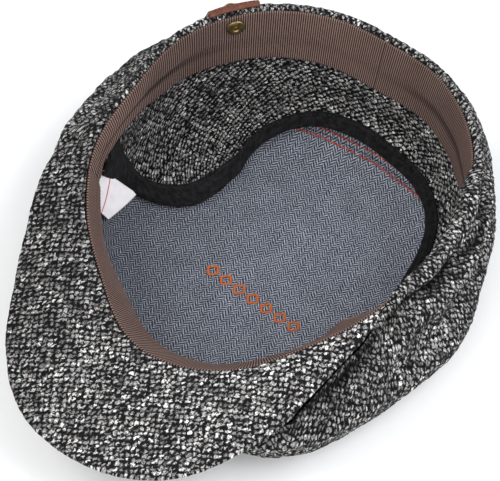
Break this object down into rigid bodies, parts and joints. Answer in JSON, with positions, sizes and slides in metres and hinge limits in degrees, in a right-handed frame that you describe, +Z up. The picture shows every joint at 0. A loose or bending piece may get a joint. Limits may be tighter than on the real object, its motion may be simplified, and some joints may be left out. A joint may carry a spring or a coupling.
{
  "type": "earflap flat cap",
  "caption": "Soft tweed cap lying on its crown, stiff peak, ribbed sweatband, ear flap folded inside, herringbone lining, leather tab.",
  "frame": {"origin": "middle of the box's underside, on the ground under the crown's flat top", "axes": "+Z up out of the head opening as the cap lies; the peak points along -Y; +X is the wearer's right with the cap in this pose"},
  "size_m": [0.2143, 0.2702, 0.0781],
  "materials": {
    "tweed": "matte",
    "ribbon": "matte",
    "binding": "matte",
    "lining": "satin",
    "leather": "satin",
    "brass": "satin",
    "label": "satin"
  },
  "bodies": {
    "root": {"crown_side": "tweed", "crown_top": "tweed", "peak": "tweed", "ear_flap": "tweed", "sweatband": "ribbon", "flap_binding": "binding", "lining_side": "lining", "lining_top": "lining", "leather_patch": "leather", "rivet": "brass", "care_label": "label"}
  },
  "joints": []
}
